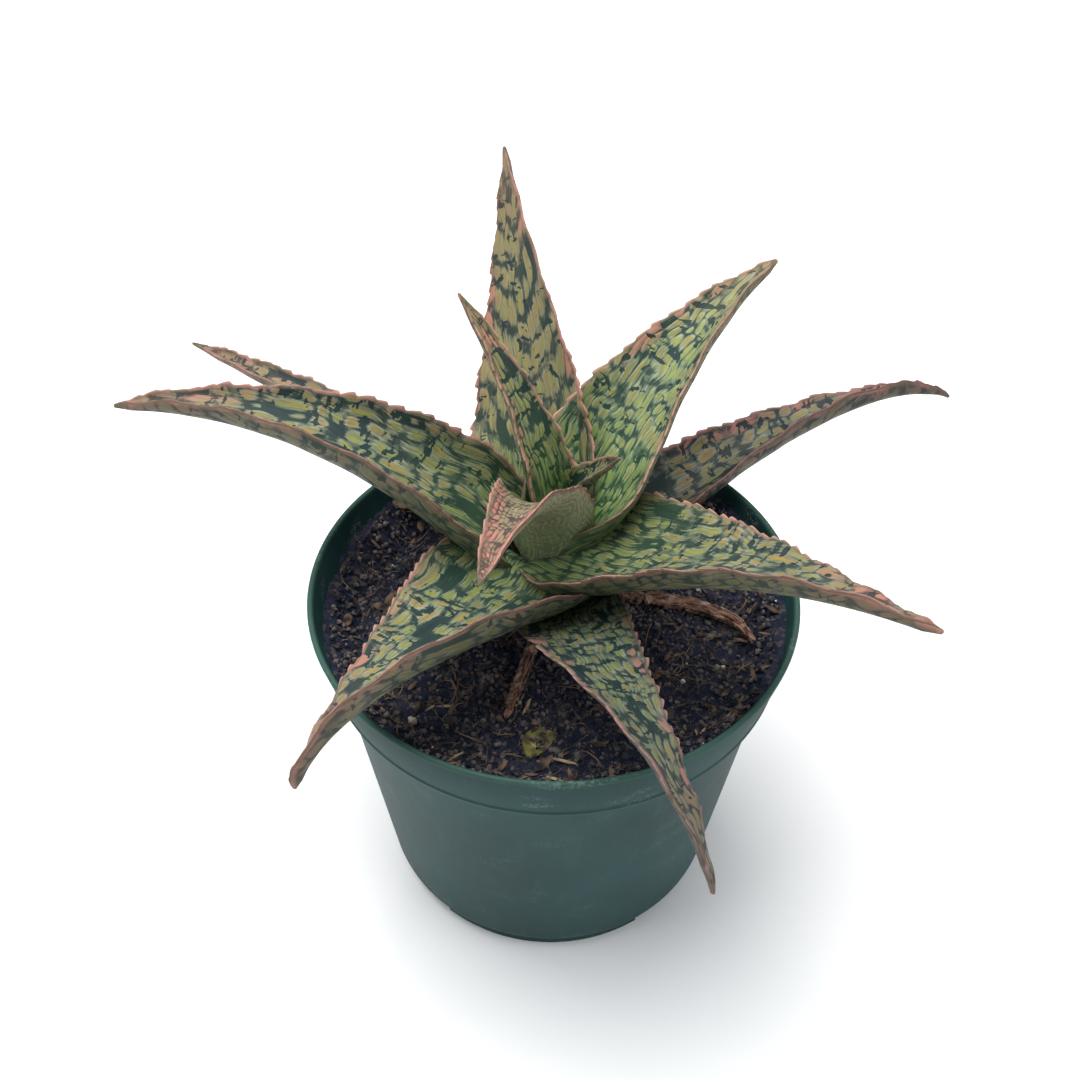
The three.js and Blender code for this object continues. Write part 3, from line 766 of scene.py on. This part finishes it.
def leaf_blade(leaf, seed):
    """A closed blade: a grid bent into a tube, with the channel above and a fuller back below."""
    dice = random.Random(seed)
    stations = round(leaf["length"] / STATION_PITCH)
    t, middle, side, up = leaf_course(leaf, stations)
    swell = 1 + SWELL - SWELL * np.exp(-SWELL_RATE * t)
    half = leaf["width"] / 2 * (1 - t) ** TIP_TAPER * swell
    half = half * (1 - leaf["waist"] * np.exp(-t / WAIST_LENGTH))
    clasp = np.exp(-(t / leaf["wrap_length"]) ** leaf["grip"])
    fold = np.radians(leaf["fold"] + (leaf["wrap"] - leaf["fold"]) * clasp)
    depth = leaf["thickness"] * (1 - TIP_THINNING * t)
    thin = np.minimum(1, half / THIN_HALF)
    teeth = {+1: margin_teeth(dice, leaf["length"], t), -1: margin_teeth(dice, leaf["length"], t)}
    upper = np.linspace(1, -1, UPPER_COLUMNS)
    back = np.linspace(-1, 1, BACK_COLUMNS)
    columns = ([("margin", 1.0)] + [("upper", u) for u in upper] + [("margin", -1.0)]
               + [("back", u) for u in back] + [("margin", 1.0)])
    places = np.zeros((stations, len(columns), 3))
    across = np.zeros((stations, len(columns)))
    reach = np.zeros((stations, len(columns)))
    for k, (kind, u) in enumerate(columns):
        angle = u * fold
        edge = abs(u) ** BACK_FULLNESS
        drop = {"upper": 0, "margin": MARGIN_THICKNESS, "back": 2 * MARGIN_THICKNESS}[kind] * thin
        if kind == "back":
            drop = drop + depth * (1 - edge)
        stand = 0
        if abs(u) == 1:
            hook = teeth[int(u)] * TOOTH_HEIGHT
            stand = u * thin * (hook + MARGIN_STAND if kind == "margin" else hook * BACK_TOOTH)
        x = half / fold * np.sin(angle) + np.sin(angle) * drop + stand * np.cos(angle)
        z = half / fold * (1 - np.cos(angle)) - np.cos(angle) * drop + stand * np.sin(angle)
        if kind == "upper":
            hollow = half / fold * (np.cos(angle) - np.cos(fold))
            z = z + leaf["fill"] * np.exp(-(t / FILL_LENGTH) ** 2) * hollow
        z = z - leaf["tuck"] * max(u, 0) ** 2 * np.exp(-(t / TUCK_LENGTH) ** 2)
        ripple = np.sin(t * leaf["length"] / RIPPLE_LENGTH + seed + u)
        z = z + edge * MARGIN_RIPPLE * ripple * thin
        places[:, k] = middle + side * x[:, None] + up * z[:, None]
        across[:, k] = u * half
        reach[:, k] = (1 - abs(u)) * half - (np.abs(stand) if kind == "margin" else 0)
    places[-1] = middle[-1] - up[-1] * MARGIN_THICKNESS

    bpy.ops.mesh.primitive_grid_add(
        x_subdivisions=len(columns) - 1, y_subdivisions=stations - 1, size=1)
    blade = bpy.context.object
    mesh = blade.data
    flat = np.array([v.co[:2] for v in mesh.vertices])
    column = np.rint((flat[:, 0] + 0.5) * (len(columns) - 1)).astype(int)
    station = np.rint((flat[:, 1] + 0.5) * (stations - 1)).astype(int)
    mesh.vertices.foreach_set("co", (places[station, column] * MM).ravel())
    corner = np.zeros(len(mesh.loops), int)
    mesh.loops.foreach_get("vertex_index", corner)
    is_back = np.array([kind == "back" for kind, _ in columns])
    far = t[station] * leaf["length"] + seed * LEAF_PATTERN_SHIFT + is_back[column] * BACK_PATTERN_SHIFT
    mm = np.stack([across[station, column], far], -1)
    mesh.uv_layers[0].name = "leaf_mm"
    mesh.uv_layers[0].uv.foreach_set("vector", mm[corner].ravel())
    for name, values in (("edge_mm", reach[station, column]), ("along", t[station]),
                         ("back", is_back[column])):
        mesh.attributes.new(name, "FLOAT", "POINT").data.foreach_set("value", values.astype(np.float32))
    bpy.ops.object.mode_set(mode="EDIT")
    bpy.ops.mesh.select_all(action="SELECT")
    bpy.ops.mesh.remove_doubles(threshold=LEAF_WELD * MM)
    bpy.ops.mesh.select_all(action="DESELECT")
    bpy.ops.mesh.select_mode(type="EDGE")
    bpy.ops.mesh.select_non_manifold(extend=False, use_wire=False, use_boundary=True,
                                     use_multi_face=False, use_non_contiguous=False, use_verts=False)
    bpy.ops.mesh.fill()
    bpy.ops.mesh.select_all(action="SELECT")
    bpy.ops.mesh.normals_make_consistent(inside=False)
    bpy.ops.object.mode_set(mode="OBJECT")
    bpy.ops.object.shade_smooth_by_angle(angle=math.radians(LEAF_CREASE))
    return blade


def leaf_skin(leaf):
    """Waxy skin with pale flecks on dark green, brown towards the tip, pink near the margins."""
    skin = Finish(leaf["name"] + "_skin", Specular_IOR_Level=0.25)
    mm = skin.node("ShaderNodeUVMap", {"uv_map": "leaf_mm"})
    edge, along, back = (skin.node("ShaderNodeAttribute", {"attribute_name": name}, output="Fac")
                         for name in ("edge_mm", "along", "back"))
    young, blush = leaf["young"], leaf["blush"]
    wide, long = leaf["fleck"]
    base = along.smooth(0.32 + 0.35 * young, 0.05)
    tip = along.smooth(leaf["tip"], 0.97)

    # Flecks are pills in rows along the leaf. Neighbouring rows are nearly in step, so that
    # the gaps between pills join into dark bands. Rows wander, and some pills are missing.
    wobble = skin.grain(mm, 0.12, 1, 0.4, "Color", "2D")
    drift = skin.vector("ADD", mm, skin.vector("MULTIPLY", wobble, (3.0, 5.0, 0)))
    streak = skin.grain(skin.vector("MULTIPLY", drift, (1.9, 0.16, 0)), 1, 3, 0.65, dimensions="2D")
    streak = streak.smooth(0.3, 0.7)
    place = skin.node("ShaderNodeSeparateXYZ", None, {0: drift}, "X")
    breadth = wide * (1 - 0.4 * along.smooth(0.3, 1.0)) * (1 - 0.3 * back)
    row = place / breadth
    row_number = row.floor()
    row_dice = skin.node("ShaderNodeTexWhiteNoise", {"noise_dimensions": "1D"}, {"W": row_number})
    shift = row_dice * leaf["stagger"]
    bend = skin.node("ShaderNodeCombineXYZ", None,
                     {0: row_number * 0.55, 1: place.of("Y") * (0.4 / long)})
    sway = skin.grain(bend, 1, 0, dimensions="2D") * leaf["sway"]
    step = (place.of("Y") - abs(place) * leaf["vee"]) / long + shift + sway
    step_number = step.floor()
    pill = skin.node("ShaderNodeCombineXYZ", None, {0: row_number, 1: step_number})
    dice = skin.node("ShaderNodeSeparateColor", None, {0: skin.node(
        "ShaderNodeTexWhiteNoise", {"noise_dimensions": "2D"}, {"Vector": pill}, "Color")})
    shade, size, luck = dice, dice.of("Green"), dice.of("Blue")
    merged = skin.grain(mm, 0.2, 2, 0.6, dimensions="2D").smooth(0.46, 0.62)
    merged = merged + (1 - merged) * base * 0.4
    half_width = 0.43 + (merged + leaf["merge"]) * 0.08 + (streak - 0.5) * 0.06
    half_length = 0.34 + size * 0.1 - leaf["band"] + (streak - 0.5) * 0.12 + merged * 0.04
    across = abs(row - row_number - 0.5) / half_width
    length = abs(step - step_number - 0.5) / half_length
    inside = 1 - (across ** 2.3 + length ** 2.5) ** 0.42
    spot = skin.node("ShaderNodeCombineXYZ", None, {
        0: row_number * (wide * 0.2), 1: (step_number - shift) * (long * 0.26)})
    rare = skin.grain(spot, 1, 1, 0.5, dimensions="2D") + base * 0.08 + tip * 0.04 + leaf["dense"]
    notch = skin.grain(skin.vector("MULTIPLY", drift, (0.22, 0.42, 0)), 1, 2, 0.6, dimensions="2D")
    notch = notch + base * 0.1 + (streak - 0.5) * 0.05 + leaf["dense"] * 0.4
    bare_and_painted_shade = (0.34 - 0.03 * back - rare).smooth(-0.03, 0.04)
    bare_and_painted_shade = bare_and_painted_shade + (0.42 - 0.03 * back - notch).smooth(0, 0.07)
    # Below the set start no flecks are drawn; on leaf_front this fleckless dark base is painted shade.
    bare_and_painted_shade = bare_and_painted_shade + along.smooth(leaf["bare_and_painted_shade"], leaf["bare_and_painted_shade"] - 0.05)
    inside = inside - bare_and_painted_shade * 1.2 - base * streak.smooth(0.5, 0.1) * 0.45
    body = inside.smooth(-0.2, 0.22)
    core = inside.smooth(0.12, 0.55)
    melt = skin.grain(mm, 0.27, 2, 0.6, dimensions="2D").smooth(0.48, 0.66)
    seam = (0.08 + 0.5 * melt) * bare_and_painted_shade.smooth(0.4, 0.0) * (1 - base * 0.6)
    body = body + (1 - body) * seam

    cloud = skin.grain(mm, 0.11, 2, 0.5, dimensions="2D").smooth(0.35, 0.65)
    rim_tone = skin.mix(cloud, daylight(118, 130, 108), daylight(144, 146, 122))
    heart_tone = skin.mix(shade.smooth(0.3, 0.8), daylight(130, 131, 62), daylight(143, 120, 64))
    fresh_tone = skin.mix(shade, daylight(88, 122, 66), daylight(122, 146, 94))
    fleck_tone = skin.mix(core * (0.6 + streak * 0.4), rim_tone, heart_tone)
    fleck_tone = skin.mix(base * (0.4 + 0.5 * young), fleck_tone, fresh_tone)
    fleck_tone = skin.mix(streak.smooth(0.75, 0.2) * 0.55, fleck_tone, daylight(80, 88, 62))
    dull = skin.grain(mm, 0.45, 2, 0.6, dimensions="2D").smooth(0.5, 0.7)
    fleck_tone = skin.mix(dull * 0.35, fleck_tone, daylight(92, 98, 80))
    tan = (1 - streak * 0.5) * along.smooth(0.05, 0.45) * leaf["tan"]
    fleck_tone = skin.mix(tan, fleck_tone, daylight(138, 127, 90))
    margin = edge.smooth(3.2 + 1.6 * blush, 0.6)
    brown = (margin * 0.45 + tip * 0.8) * (0.45 + blush * 0.5)
    fleck_tone = skin.mix(brown * (0.4 + streak * 0.5), fleck_tone, daylight(134, 106, 88))
    flush = margin * along.smooth(0.15, 0.4) * luck.smooth(0.86 - 0.3 * blush, 0.94) * (1 - 0.6 * back)
    fleck_tone = skin.mix(flush * 0.8, fleck_tone, daylight(172, 112, 103))

    ground = skin.mix(streak * 0.7 + cloud * 0.3, daylight(17, 37, 42), daylight(39, 59, 52))
    ground = skin.mix(base * (0.3 + 0.6 * young), ground, daylight(44, 76, 40))
    ground = skin.mix(tip * (0.35 + 0.3 * blush), ground, daylight(78, 62, 56))
    bud = along.smooth(0.22, 0.08) * leaf["bud"]
    ground = skin.mix(bud, ground, daylight(58, 92, 22))
    fleck_tone = skin.mix(bud * 0.8, fleck_tone, daylight(96, 134, 48))
    face = skin.mix(body, ground, fleck_tone)
    # The back is mixed towards its tint and darkened; the bright back tint of leaf_heart_front is
    # painted light on a flank that lies in shade.
    dim = skin.mix(0.3, face, daylight(*leaf["back_tint_and_painted_light"]))
    face = skin.mix(back, face, skin.vector("MULTIPLY", dim, (0.8, 0.79, 0.82)))

    # The horny margin and its teeth: coral in places, dull brown between.
    along_margin = skin.grain(mm, 0.14, 2, 0.6, dimensions="2D").smooth(0.42, 0.6)
    horn = edge.smooth(0.4 + 0.3 * blush, 0.05) * along.smooth(0.03, 0.1)
    along_margin = along_margin * along.smooth(0.08, 0.3)
    coral = skin.mix(along_margin, daylight(98, 88, 70), daylight(146, 106, 94))
    coral = skin.mix(edge.smooth(0.0, -0.5) * 0.8, coral, daylight(182, 136, 126))
    face = skin.mix(horn * 0.85, face, coral)
    # The whole leaf is multiplied by its tint: partly the leaf's own colour, partly painted light and
    # shade.
    face = skin.vector("MULTIPLY", face, leaf["tint_and_painted_light"])
    skin.bump(body * 0.6 + core * 0.4 + streak * 0.25, 0.2, 0.7)
    return skin.look(face, 0.56 - body * 0.08 + streak * 0.08)


for seed, traits in enumerate(LEAVES, 1):
    leaf = PLAIN_LEAF | traits
    blade = leaf_blade(leaf, seed)
    settle(blade, leaf["name"] + "_blade", leaf_skin(leaf), leaf["name"])


# Withered leaves: two old leaves that dried to brown curled straps and lie on the soil.
DRIED = [
    dict(name="dried_leaf_right", width=4.2, curl=70, lift=(2.4, 2.4, 2.2, 2.8, 3.2, 4.6),
         run=((12, 8), (18, 6.5), (26, 5), (34, 2.5), (42, -1.5), (44.5, -9.5))),
    dict(name="dried_leaf_front", width=3.2, curl=-60, lift=(3, 2.4, 2.2, 2.4, 1.8),
         run=((-4, -5), (-5, -11), (-7, -19), (-8.5, -25), (-10, -30))),
]
DRIED_STATIONS = 110
DRIED_COLUMNS = 17
DRIED_SMOOTHINGS = 60
DRIED_FLAT = 0.3
DRIED_RAGGED = 0.4
DRIED_BOW = 1.15
DRIED_HOLLOW = 0.75
FOLD_HEIGHT = 0.28
FOLD_RATE = 9
WRINKLE_HEIGHT = 0.35
WRINKLE_RATE = 0.31
FRAY_HEIGHT = 0.3
DRIED_LENGTH = 40
DRIED_PATTERN_SHIFT = 50
DRIED_THICKNESS = 0.4
DRIED_CREASE = 60


def dried_skin(name):
    """Papery brown skin with long pale veins and darker folds."""
    skin = Finish(name, Specular_IOR_Level=0.3)
    mm = skin.node("ShaderNodeUVMap", {"uv_map": "leaf_mm"})
    vein = skin.grain(skin.vector("MULTIPLY", mm, (3.2, 0.25, 0)), 1, 3, 0.65, dimensions="2D")
    cloud = skin.grain(mm, 0.35, 3, 0.6, dimensions="2D")
    colour = skin.mix(vein.smooth(0.35, 0.62), daylight(70, 46, 44), daylight(140, 106, 88))
    colour = skin.mix(cloud.smooth(0.48, 0.68) * 0.75, colour, daylight(178, 146, 124))
    colour = skin.mix(cloud.smooth(0.42, 0.25) * 0.6, colour, daylight(46, 32, 36))
    skin.bump(vein, 0.4, 0.9)
    return skin.look(colour, 0.8)


def dried_strap(dried, seed):
    """A curled, wrinkled strap along its run, given a papery thickness."""
    run = np.array([(x, y, soil_height(x, y) + lift)
                    for (x, y), lift in zip(dried["run"], dried["lift"])])
    knots = np.linspace(0, 1, len(run))
    t = np.linspace(0, 1, DRIED_STATIONS)
    line = np.stack([np.interp(t, knots, run[:, k]) for k in range(3)], -1)
    for _ in range(DRIED_SMOOTHINGS):
        line[1:-1] = (line[:-2] + 2 * line[1:-1] + line[2:]) / 4
    along = np.gradient(line, axis=0)
    along /= np.linalg.norm(along, axis=1)[:, None]
    level = np.cross(np.array((0, 0, 1.0)), along)
    level /= np.linalg.norm(level, axis=1)[:, None]
    rise = np.cross(along, level)
    turn = np.radians(dried["curl"]) * (t - DRIED_FLAT)
    side = level * np.cos(turn)[:, None] + rise * np.sin(turn)[:, None]
    up = np.cross(along, side)
    taper = np.sin(np.pi * (0.16 + 0.78 * t)) ** 0.8
    bpy.ops.mesh.primitive_grid_add(
        x_subdivisions=DRIED_COLUMNS - 1, y_subdivisions=DRIED_STATIONS - 1, size=1)
    strap = bpy.context.object
    mesh = strap.data
    flat = np.array([v.co[:2] for v in mesh.vertices])
    u = flat[:, 0] * 2
    k = np.rint((flat[:, 1] + 0.5) * (DRIED_STATIONS - 1)).astype(int)
    ragged = np.array([noise.noise(Vector((seed, i * 0.35, 0))) for i in range(DRIED_STATIONS)])
    half = dried["width"] / 2 * taper * (1 + DRIED_RAGGED * ragged)
    x = half[k] / DRIED_BOW * np.sin(u * DRIED_BOW)
    z = -half[k] / DRIED_BOW * (1 - np.cos(u * DRIED_BOW)) * DRIED_HOLLOW
    z = z + FOLD_HEIGHT * np.sin(u * FOLD_RATE + 4 * ragged[k]) * taper[k]
    z = z + WRINKLE_HEIGHT * np.sin(k * WRINKLE_RATE + 3 * u)
    fray = np.array([noise.noise(Vector((i * 0.8, seed, 5))) for i in k])
    z = z + np.abs(u) ** 6 * FRAY_HEIGHT * fray
    places = line[k] + side[k] * x[:, None] + up[k] * z[:, None]
    mesh.vertices.foreach_set("co", (places * MM).ravel())
    corner = np.zeros(len(mesh.loops), int)
    mesh.loops.foreach_get("vertex_index", corner)
    mm = np.stack([u * half[k], t[k] * DRIED_LENGTH + seed * DRIED_PATTERN_SHIFT], -1)
    mesh.uv_layers[0].name = "leaf_mm"
    mesh.uv_layers[0].uv.foreach_set("vector", mm[corner].ravel())
    apply_modifier(strap, "SOLIDIFY", thickness=DRIED_THICKNESS * MM, offset=0)
    bpy.ops.object.shade_smooth_by_angle(angle=math.radians(DRIED_CREASE))
    return strap


for seed, dried in enumerate(DRIED, 31):
    strap = dried_strap(dried, seed)
    skin = dried_skin(dried["name"] + "_skin")
    settle(strap, dried["name"] + "_strap", skin, dried["name"])


# Studio: a pale floor, soft light from above and both sides, and the camera above the
# viewer's side of the pot.
FLOOR_SIZE = 6
SKY_COLOUR = (0.92, 0.96, 1.0, 1)
SKY_STRENGTH = 0.55
LAMP_AIM = 0.08
CAMERA_LENS = 50
CAMERA_SENSOR = 36
CAMERA_PITCH = 44
CAMERA_ROLL = 0.6
CAMERA_DEPTH = 0.336
FRAME_PIXELS = 1080
FOCAL_PIXELS = 1500
RIM_CENTRE_PIXEL = (553.7, 585.9)

# Lamps: name, place and breadth in m, power in W, and tint.
LAMPS = [
    ("lamp_above", (-0.2, 0.2, 1.1), 0.9, 17, (1.0, 0.99, 0.97)),
    ("lamp_left", (-1.0, -0.3, 0.8), 0.7, 3.5, (0.94, 0.97, 1.0)),
    ("lamp_right", (0.9, -0.4, 0.7), 0.7, 3, (0.96, 0.98, 1.0)),
]


def floor_finish():
    """Matt off-white with the faintest unevenness."""
    pale = Finish("studio_floor", Specular_IOR_Level=0.2)
    place = pale.node("ShaderNodeTexCoord", output="Object")
    cloud = pale.grain(place, 3, 2, 0.5)
    return pale.look(pale.mix(cloud, (0.86, 0.86, 0.86, 1), (0.89, 0.89, 0.89, 1)), 0.9)


bpy.ops.object.select_all(action="DESELECT")
bpy.ops.mesh.primitive_plane_add(size=FLOOR_SIZE)
studio_floor = bpy.context.object
studio_floor.name = "studio_floor"
studio_floor.data.materials.append(floor_finish())

world = bpy.data.worlds.new("studio_sky")
world.use_nodes = True
world.node_tree.nodes["Background"].inputs["Color"].default_value = SKY_COLOUR
world.node_tree.nodes["Background"].inputs["Strength"].default_value = SKY_STRENGTH
bpy.context.scene.world = world
bpy.context.scene.view_settings.view_transform = "Standard"

for name, place, breadth, power, tint in LAMPS:
    light = bpy.data.lights.new(name, "AREA")
    light.energy = power
    light.size = breadth
    light.color = tint
    lamp = bpy.data.objects.new(name, light)
    lamp.location = place
    aim = Vector((0, 0, LAMP_AIM)) - Vector(place)
    lamp.rotation_euler = aim.to_track_quat("-Z", "Y").to_euler()
    bpy.context.scene.collection.objects.link(lamp)

pitch, roll = math.radians(CAMERA_PITCH), math.radians(CAMERA_ROLL)
forward = Vector((0, math.cos(pitch), -math.sin(pitch)))
level_right = Vector((1, 0, 0))
level_up = level_right.cross(forward)
camera_right = level_right * math.cos(roll) + level_up * math.sin(roll)
camera_up = level_up * math.cos(roll) - level_right * math.sin(roll)
aside = (RIM_CENTRE_PIXEL[0] - FRAME_PIXELS / 2) / FOCAL_PIXELS
above = (FRAME_PIXELS / 2 - RIM_CENTRE_PIXEL[1]) / FOCAL_PIXELS
stand_off = (forward + camera_right * aside + camera_up * above) * CAMERA_DEPTH
camera_data = bpy.data.cameras.new("camera")
camera_data.lens = CAMERA_LENS
camera_data.sensor_width = CAMERA_SENSOR
camera = bpy.data.objects.new("camera", camera_data)
camera.matrix_world = Matrix.Translation(Vector((0, 0, POT_HEIGHT * MM)) - stand_off) @ Matrix(
    (camera_right, camera_up, -forward)).transposed().to_4x4()
bpy.context.scene.collection.objects.link(camera)
bpy.context.scene.camera = camera
